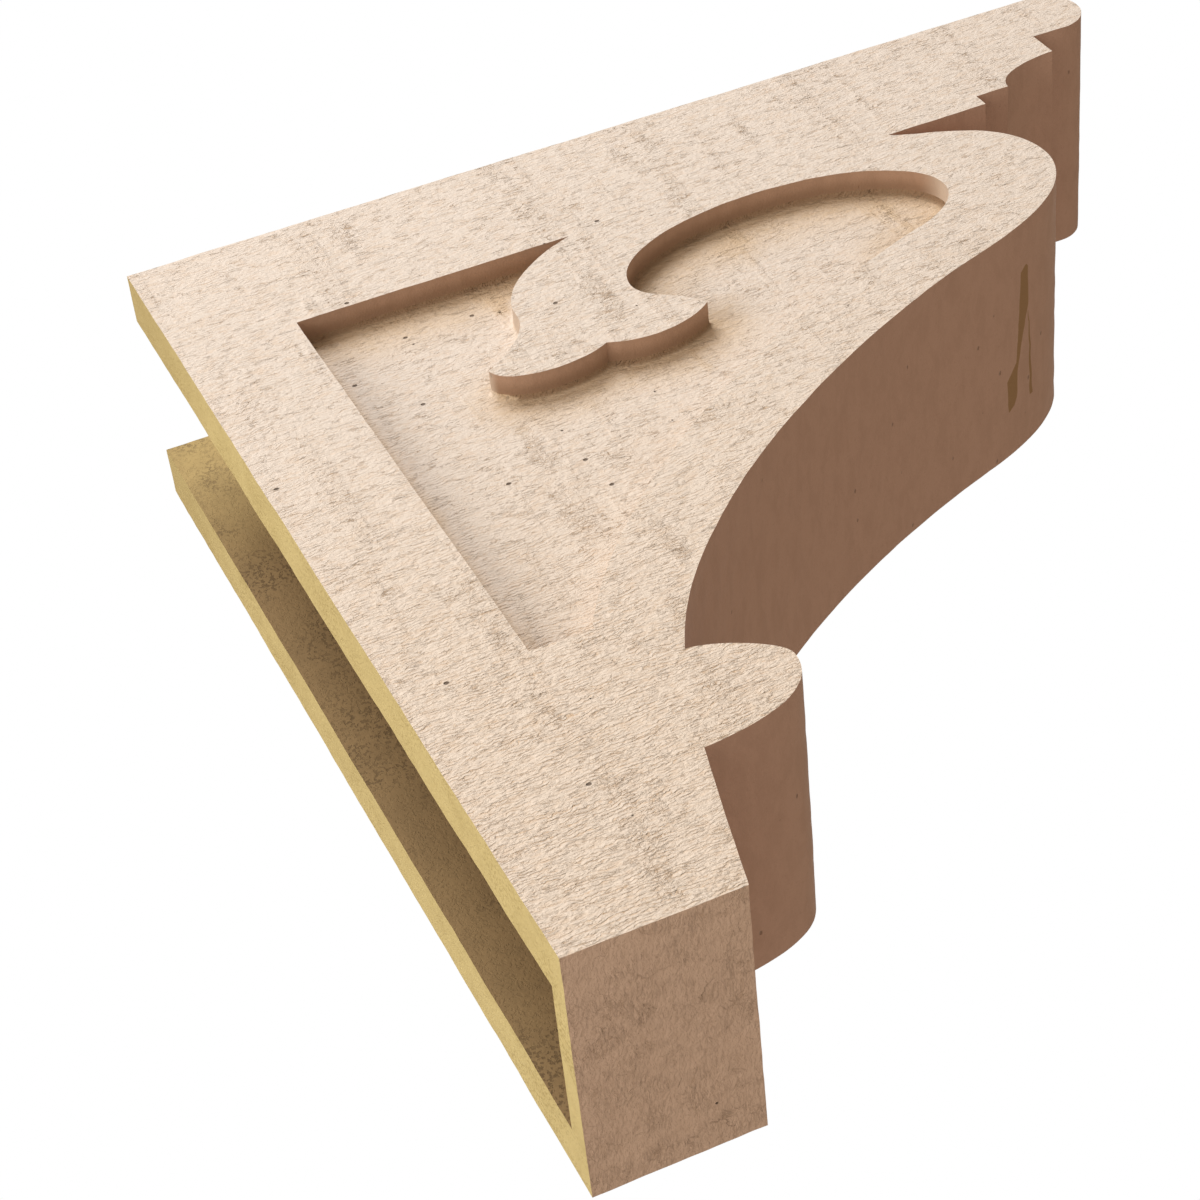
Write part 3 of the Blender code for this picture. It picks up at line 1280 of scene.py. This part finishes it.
@dataclass(frozen=True)
class SawnPaint(Finish):
    """Matt paint over rough-sawn foam: streaks along the cut, ledges, cracks and crumbs.

    Holes are (x, z) in millimetres in the row frame, and tears are (x, z, half the width).
    """

    base: Colour = (0.81, 0.70, 0.595)
    # Painted light: the flank's tone shifts from base to upper with height, standing in for how the
    # light falls along it.
    upper: Colour = (0.785, 0.70, 0.625)
    # Painted shade: crease darkens the dips, ledge feet, cracks and torn patches, corner is the
    # shade painted into the panel's corners, and foot the darker shade painted at the foot of its
    # walls.
    crease: Colour = (0.60, 0.36, 0.16)
    corner: Colour = (0.65, 0.475, 0.30)
    foot: Colour = (0.29, 0.18, 0.105)
    grain: Triple = (165.0, 165.0, 470.0)
    waver: Triple = (150.0, 150.0, 190.0)
    across: int = 2
    rows: float = 520.0
    lumps: Triple = (240.0, 240.0, 560.0)
    bands: Triple = (58.0, 58.0, 7.0)
    relief: float = 0.00098
    depth: float = 1.0
    holes: tuple[Point, ...] = (
        (133.8, 400.5), (100.4, 399.9), (87.8, 346.2), (133.0, 270.3), (209.7, 424.9),
        (5.6, 303.4), (164.4, 370.6), (21.0, 149.0), (45.4, 69.4), (135.4, 248.3),
        (66.4, 375.8), (97.7, 271.6), (82.0, 422.5),
    )
    tears: tuple[Triple, ...] = (
        (134.0, 183.0, 4.5), (117.0, 141.0, 4.0), (110.7, 100.0, 4.0), (50.0, 35.0, 4.5),
        (64.0, 50.0, 3.0), (52.0, 62.0, 3.5), (46.0, 12.0, 4.0), (117.0, 285.0, 5.0),
        (112.0, 240.0, 5.0), (50.0, 198.0, 3.0), (51.0, 167.0, 3.0), (101.0, 483.0, 5.0),
        (183.0, 499.0, 3.0), (245.0, 468.5, 4.0), (184.0, 365.0, 6.0), (260.0, 480.0, 3.0),
        (254.0, 440.0, 3.0), (250.0, 415.0, 3.0), (305.0, 466.0, 3.0),
    )

    def make(self) -> bpy.types.Material:
        """Builds the material.

        Returns:
            The material.
        """
        g = Graph(self.name)
        place = g.place()
        coarse = g.noise(g.stretch(place, self.grain), detail=4.0, rough=0.58, twist=0.45)
        fine = g.noise(g.stretch(place, tuple(2.4 * s for s in self.grain), (3.0, 1.0, 2.0)),
                       detail=3.0, rough=0.65, twist=0.2)
        crumbs = g.noise(place, scale=560.0, detail=3.0, rough=0.65, twist=0.3)
        scar = self.scars(g, place)
        torn = g.calc("MAXIMUM", self.torn(g, place), scar)
        crinkle = g.noise(g.stretch(place, (230.0, 230.0, 330.0), (1.0, 8.0, 5.0)), twist=0.4)
        crinkle = g.calc("ABSOLUTE", g.calc("SUBTRACT", crinkle, 0.5))
        crinkle = g.step(crinkle, 0.004, 0.030, 0.5, 0.0)
        crack = g.calc("MAXIMUM", self.cracks(g, place, torn), g.times(scar, crinkle))
        hole = self.pinholes(g, place)
        ripple, line = self.ripples(g, place)
        upper = g.step(g.split(place)[2], 0.05, 0.42)
        calm = g.step(g.split(place)[2], 0.04, 0.32, 1.4, 0.65)
        lumps = g.cells(g.warp(g.stretch(place, self.lumps), 0.7, 2.2), 1.0).outputs["Distance"]
        patchy = g.noise(g.stretch(place, (48.0, 48.0, 80.0), (9.0, 1.0, 6.0)), detail=3.0)
        calm = g.times(calm, g.step(patchy, 0.38, 0.62, 0.64, 0.98))
        height = g.plus(lumps, -0.65, g.plus(ripple, 0.40, coarse))
        height = g.times(height, calm)
        height = g.plus(fine, 0.60, height)
        height = g.plus(crumbs, g.plus(torn, 0.65, 0.45), height)
        height = g.plus(crack, -0.55, height)
        height = g.plus(hole, -1.5, height)
        g.bump(height, self.relief * self.depth)
        # Painted light gradient up the flank.
        plain = g.blend(upper, self.base, self.upper)
        tint = self.colour(g, plain, coarse, fine, torn, crack, g.times(line, calm))
        # Painted shade in the holes.
        tint = g.blend(g.times(hole, 0.85), tint, HOLE_TONE)
        g.feed(g.shader.inputs["Base Color"], tint)
        g.feed(g.shader.inputs["Roughness"], g.step(crumbs, 0.3, 0.7, 0.74, 0.92))
        g.shader.inputs["Specular IOR Level"].default_value = MATT_SPECULAR
        return g.material

    def ripples(self, g: Graph, place: Socket) -> tuple[Socket, Socket]:
        """Wavering rows of small ledges left by the saw.

        Args:
            g: The material's nodes.
            place: The point on the object.

        Returns:
            The rows' height, and 1 along the foot of each ledge.
        """
        sway = g.noise(g.stretch(place, self.waver), detail=3.0, rough=0.55)
        drift = g.noise(g.stretch(place, (22.0, 22.0, 22.0), (1.0, 6.0, 3.0)), detail=2.0)
        phase = g.plus(g.split(place)[self.across], -self.rows, g.times(sway, 3.4))
        phase = g.calc("FRACT", g.plus(drift, 5.0, phase))
        strength = g.noise(g.stretch(place, (105.0, 105.0, 230.0), (4.0, 4.0, 4.0)))
        strength = g.step(strength, 0.38, 0.58)
        rise = g.times(phase, g.step(phase, 0.82, 1.0, 1.0, 0.0))
        # Where shade is painted, at the foot of each ledge.
        line = g.step(phase, 0.02, 0.24, 1.0, 0.0)
        return g.times(rise, strength), g.times(line, strength)

    def torn(self, g: Graph, place: Socket) -> Socket:
        """Where the saw tore the surface: in patches, and in narrow bands across the grain.

        Args:
            g: The material's nodes.
            place: The point on the object.

        Returns:
            1 where it is torn and 0 where it is clean.
        """
        patch = g.noise(g.stretch(place, (17.0, 20.0, 24.0), (5.0, 5.0, 5.0)))
        band = g.noise(g.stretch(place, self.bands, (2.0, 9.0, 1.0)), rough=0.6)
        return g.calc("MAXIMUM", g.step(patch, 0.54, 0.74), g.step(band, 0.54, 0.66))

    def scars(self, g: Graph, place: Socket) -> Socket:
        """The larger torn spots, upright and ragged.

        Args:
            g: The material's nodes.
            place: The point on the object.

        Returns:
            1 in a spot and 0 elsewhere.
        """
        squash = 0.3
        flat = g.stretch(place, (1.0, 0.0, squash))
        gap = 1.0
        for x, z, half_width in self.tears:
            away = g.distance(flat, (x * MM, 0.0, squash * z * MM))
            gap = g.calc("MINIMUM", gap, g.calc("SUBTRACT", away, half_width * MM))
        ragged = g.stretch(place, (130.0, 130.0, 220.0), (3.0, 7.0, 2.0))
        ragged = g.noise(ragged, detail=4.0, rough=0.65)
        gap = g.calc("ADD", gap, g.plus(ragged, 0.022, -0.011))
        marked = g.calc("LESS_THAN", g.split(place)[1], 0.0)
        return g.times(g.step(gap, -0.0015, 0.0015, 1.0, 0.0), marked)

    def cracks(self, g: Graph, place: Socket, torn: Socket) -> Socket:
        """Thin wandering cracks, mostly where the surface is torn.

        Args:
            g: The material's nodes.
            place: The point on the object.
            torn: Where the surface is torn, from 0 to 1.

        Returns:
            1 in a crack and 0 elsewhere.
        """
        net = g.noise(g.stretch(place, (75.0, 75.0, 290.0), (7.0, 3.0, 4.0)),
                      detail=4.0, rough=0.55, twist=0.5)
        line = g.step(g.calc("ABSOLUTE", g.calc("SUBTRACT", net, 0.47)), 0.003, 0.018, 1.0, 0.0)
        broken = g.noise(g.stretch(place, (110.0, 110.0, 200.0), (8.0, 2.0, 4.0)), detail=2.0)
        broken = g.step(broken, 0.46, 0.56)
        return g.times(g.times(line, broken), g.plus(torn, 0.55, 0.45))

    def colour(self, g: Graph, plain: Socket, coarse: Socket, fine: Socket, torn: Socket,
               crack: Socket, line: Socket) -> Socket:
        """The paint's colour, with painted shade: darker in the dips, the cracks, the feet of the
        ledges and the corners of the panel.

        Args:
            g: The material's nodes.
            plain: The colour where nothing marks it.
            coarse: The ledges' noise.
            fine: The streaks' noise.
            torn: Where the surface is torn, from 0 to 1.
            crack: Where it is cracked, from 0 to 1.
            line: Where the foot of a ledge is, from 0 to 1.

        Returns:
            The colour.
        """
        # Painted shade in the torn patches, the dips, the feet of the ledges and the cracks.
        tint = g.blend(g.times(torn, 0.03), plain, self.crease)
        dip_shade = g.step(g.plus(fine, 0.6, coarse), 0.60, 0.84, 1.0, 0.0)
        tint = g.blend(g.times(dip_shade, 0.20), tint, self.crease)
        tint = g.blend(g.times(line, 0.42), tint, self.crease)
        tint = g.blend(g.times(crack, 0.55), tint, self.crease)
        # Painted shade in the panel's corners with a ragged edge, darkest at the foot of its walls.
        painted_shade = g.painted_shade()
        patchy = g.plus(torn, 0.25, g.plus(coarse, 0.9, -0.5))
        ragged = g.calc("ADD", painted_shade, g.times(patchy, g.step(painted_shade, 0.0, 0.3)))
        tint = g.blend(g.step(ragged, 0.05, 1.0, 0.0, 0.85), tint, self.corner)
        return g.blend(g.step(painted_shade, 0.92, 0.99, 0.0, 0.9), tint, self.foot)

    def pinholes(self, g: Graph, place: Socket) -> Socket:
        """Sparse small dark holes: the larger ones on the near flank, and tiny ones all over.

        Args:
            g: The material's nodes.
            place: The point on the object.

        Returns:
            1 in a hole and 0 elsewhere.
        """
        spots = g.cells(place, 62.0)
        tiny = g.step(spots.outputs["Distance"], 0.022, 0.045, 1.0, 0.0)
        tiny = g.times(tiny, g.calc("LESS_THAN", g.split(spots.outputs["Color"])[0], 0.35))
        flat = g.stretch(place, (0.75, 0.0, 1.0))
        gap = 1.0
        for x, z in self.holes:
            gap = g.calc("MINIMUM", gap, g.distance(flat, (0.75 * x * MM, 0.0, z * MM)))
        marked = g.calc("LESS_THAN", g.split(place)[1], 0.0)
        large = g.times(g.step(gap, 0.0005, 0.0010, 1.0, 0.0), marked)
        return g.calc("MAXIMUM", tiny, large)


@dataclass(frozen=True)
class CastPaint(Finish):
    """The same paint on the smooth cast faces: faint streaks across the width and small pits."""

    # Painted shade: the brown base and streak tones are the paint as it looks in shade, and corner
    # is shade painted into the panel's corners.
    base: Colour = (0.545, 0.335, 0.238)
    streak: Colour = (0.485, 0.293, 0.205)
    corner: Colour = (0.34, 0.20, 0.13)
    mark: BladeMark | None = None
    # Painted light: lit is the colour of faces turned up and towards the wall, where the light
    # falls.
    lit: Colour | None = None
    relief: float = 0.0005
    roughness: float = 0.7
    sheen: float = 0.0
    sheen_roughness: float = 0.3

    def make(self) -> bpy.types.Material:
        """Builds the material.

        Returns:
            The material.
        """
        g = Graph(self.name)
        place = g.place()
        streaks = g.noise(g.stretch(place, (120.0, 50.0, 120.0)), detail=5.0, rough=0.65, twist=0.4)
        grit = g.noise(place, scale=800.0, detail=2.0)
        pits = g.cells(g.stretch(place, (1.0, 0.6, 1.0)), 90.0)
        pit = g.step(pits.outputs["Distance"], 0.04, 0.08, 1.0, 0.0)
        pit = g.times(pit, g.calc("LESS_THAN", g.split(pits.outputs["Color"])[1], 0.7))
        tint = g.blend(g.step(streaks, 0.40, 0.66, 0.0, 0.6), self.base, self.streak)
        tint = g.blend(g.step(grit, 0.56, 0.72, 0.0, 0.6), tint, self.streak)
        # Painted shade in the pits.
        tint = g.blend(g.times(pit, 0.55), tint, PIT_TONE)
        # Painted shade in the panel's corners, with a ragged edge.
        ragged = g.calc("ADD", g.painted_shade(), g.plus(streaks, 0.3, -0.15))
        tint = g.blend(g.step(ragged, 0.2, 0.9, 0.0, 0.9), tint, self.corner)
        # Painted light on faces turned up and towards the wall.
        if self.lit is not None:
            x, _, z = g.split(g.facing())
            tint = g.blend(g.step(g.calc("SUBTRACT", z, x), 0.15, 0.95), tint, self.lit)
        if self.mark is not None:
            tint = g.blend(self.mark.mask(g, place), tint, self.mark.tone)
        g.feed(g.shader.inputs["Base Color"], tint)
        height = g.plus(grit, 0.35, g.times(streaks, 0.4))
        g.bump(g.plus(pit, -0.6, height), self.relief)
        g.shader.inputs["Roughness"].default_value = self.roughness
        g.shader.inputs["Sheen Weight"].default_value = self.sheen
        g.shader.inputs["Sheen Roughness"].default_value = self.sheen_roughness
        g.shader.inputs["Specular IOR Level"].default_value = MATT_SPECULAR
        return g.material


@dataclass(frozen=True)
class RawFoam(Finish):
    """Unpainted foam: yellow, smooth, with clusters of tiny open cells, and painted light that
    changes the tone of its upper end.
    """

    base: Colour = (0.80, 0.66, 0.31)
    upper: Colour = (0.67, 0.54, 0.25)
    cell: Colour = (0.46, 0.34, 0.12)
    speckle: float = 0.5
    relief: float = 0.0004
    roughness: float = 0.8

    def make(self) -> bpy.types.Material:
        """Builds the material.

        Returns:
            The material.
        """
        g = Graph(self.name)
        place = g.place()
        z = g.split(place)[2]
        cluster = g.noise(g.stretch(place, (20.0, 20.0, 15.0)), detail=4.0, rough=0.6)
        cluster = g.step(cluster, 0.44, 0.60)
        specks = g.step(g.noise(place, scale=620.0, detail=2.0, rough=0.6), 0.50, 0.60)
        cloud = g.noise(place, scale=48.0, detail=4.0, rough=0.6)
        # Painted light: the tone changes towards the upper end, by how much light reaches it.
        tone = g.blend(g.step(z, 0.36, 0.50), self.base, self.upper)
        tone = g.blend(g.step(cloud, 0.35, 0.75, 0.0, 0.25), tone, self.cell)
        share = g.times(g.times(cluster, specks), self.speckle)
        tone = g.blend(g.calc("MAXIMUM", share, g.times(specks, 0.06)), tone, self.cell)
        g.feed(g.shader.inputs["Base Color"], tone)
        g.bump(g.plus(specks, -0.3, g.noise(place, scale=260.0, detail=4.0)), self.relief)
        g.shader.inputs["Roughness"].default_value = self.roughness
        g.shader.inputs["Specular IOR Level"].default_value = MATT_SPECULAR
        return g.material


@dataclass
class Studio:
    """The pale floor, the soft lights and the camera."""

    aim: Triple = (0.24, 0.0, 0.26)
    floor_z: float = -2.2
    floor_reach: float = 20.0
    floor_tone: Colour = (0.72, 0.71, 0.69)
    floor_roughness: float = 0.9
    glow_tone: Colour = (1.0, 0.80, 0.60)
    glow_level: float = 0.33
    lens: float = 86.72
    camera_at: Triple = (-0.215718, -0.778428, -0.670836)
    camera_right: Triple = (0.90695374, 0.08930753, -0.41165407)
    camera_up: Triple = (0.32294161, -0.77487416, 0.54339558)

    def floor(self) -> bpy.types.Object:
        """The floor, well below the corbel.

        Returns:
            The floor.
        """
        data = bpy.data.meshes.new("floor")
        reach, z = self.floor_reach, self.floor_z
        corners = [(-reach, -reach, z), (reach, -reach, z), (reach, reach, z), (-reach, reach, z)]
        data.from_pydata(corners, [], [(0, 1, 2, 3)])
        ground = bpy.data.objects.new("floor", data)
        bpy.context.scene.collection.objects.link(ground)
        g = Graph("floor_paint")
        g.shader.inputs["Base Color"].default_value = (*self.floor_tone, 1.0)
        g.shader.inputs["Roughness"].default_value = self.floor_roughness
        data.materials.append(g.material)
        return ground

    def lamp(self, name: str, at: Triple, size: float, level: float,
             tone: Colour = (1.0, 1.0, 1.0)) -> bpy.types.Object:
        """A square soft light aimed at the corbel.

        Args:
            name: The light's name.
            at: Where it stands.
            size: Its side, in metres.
            level: How bright a white card at the corbel facing it would be, from 0 to 1.
            tone: Its colour.

        Returns:
            The light.
        """
        data = bpy.data.lights.new(name, "AREA")
        data.shape = "SQUARE"
        data.size = size
        gap = Vector(self.aim) - Vector(at)
        data.energy = level * math.pi ** 2 * gap.length_squared
        data.color = tone
        light = bpy.data.objects.new(name, data)
        light.location = at
        light.rotation_euler = gap.to_track_quat("-Z", "Y").to_euler()
        bpy.context.scene.collection.objects.link(light)
        return light

    def ambience(self) -> None:
        """White seen directly, and a dim warm glow on the corbel."""
        world = bpy.data.worlds.new("studio")
        world.use_nodes = True
        bpy.context.scene.world = world
        tree = world.node_tree
        glow = tree.nodes["Background"]
        glow.inputs["Color"].default_value = (*self.glow_tone, 1.0)
        glow.inputs["Strength"].default_value = self.glow_level
        card = tree.nodes.new("ShaderNodeBackground")
        card.inputs["Strength"].default_value = 1.0
        card.inputs["Color"].default_value = (1.0, 1.0, 1.0, 1.0)
        path = tree.nodes.new("ShaderNodeLightPath")
        mix = tree.nodes.new("ShaderNodeMixShader")
        tree.links.new(path.outputs["Is Camera Ray"], mix.inputs[0])
        tree.links.new(glow.outputs[0], mix.inputs[1])
        tree.links.new(card.outputs[0], mix.inputs[2])
        tree.links.new(mix.outputs[0], tree.nodes["World Output"].inputs["Surface"])

    def camera(self) -> None:
        """The camera, low down on the wall side and looking up."""
        data = bpy.data.cameras.new("camera")
        data.lens = self.lens
        data.sensor_width = 36.0
        data.clip_end = 100.0
        right, up = Vector(self.camera_right), Vector(self.camera_up)
        back = right.cross(up)
        turn = Matrix((right, up, back)).transposed().to_4x4()
        seat = bpy.data.objects.new("camera", data)
        seat.matrix_world = Matrix.Translation(self.camera_at) @ turn
        bpy.context.scene.collection.objects.link(seat)
        bpy.context.scene.camera = seat

    def build(self) -> None:
        """Sets up the whole studio."""
        self.floor()
        self.lamp("key_softbox", (-0.2, -2.3, 2.2), 1.6, 0.79)
        self.lamp("wall_side_softbox", (-2.15, -1.35, -0.1), 1.4, 0.50, (1.0, 0.95, 0.88))
        self.lamp("far_side_softbox", (0.6, 2.6, 1.5), 1.6, 0.62)
        self.ambience()
        self.camera()
        bpy.context.scene.view_settings.view_transform = "Standard"


def main() -> None:
    """Builds the corbel and its studio."""
    logging.basicConfig(level=logging.INFO, format="%(name)s: %(message)s", stream=sys.stdout)
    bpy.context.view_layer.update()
    corbel = CorbelBody()
    body = corbel.build()
    corbel.dress(body)
    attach(body, "root")
    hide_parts("corbel")
    Studio().build()


if __name__ == "__main__":
    main()
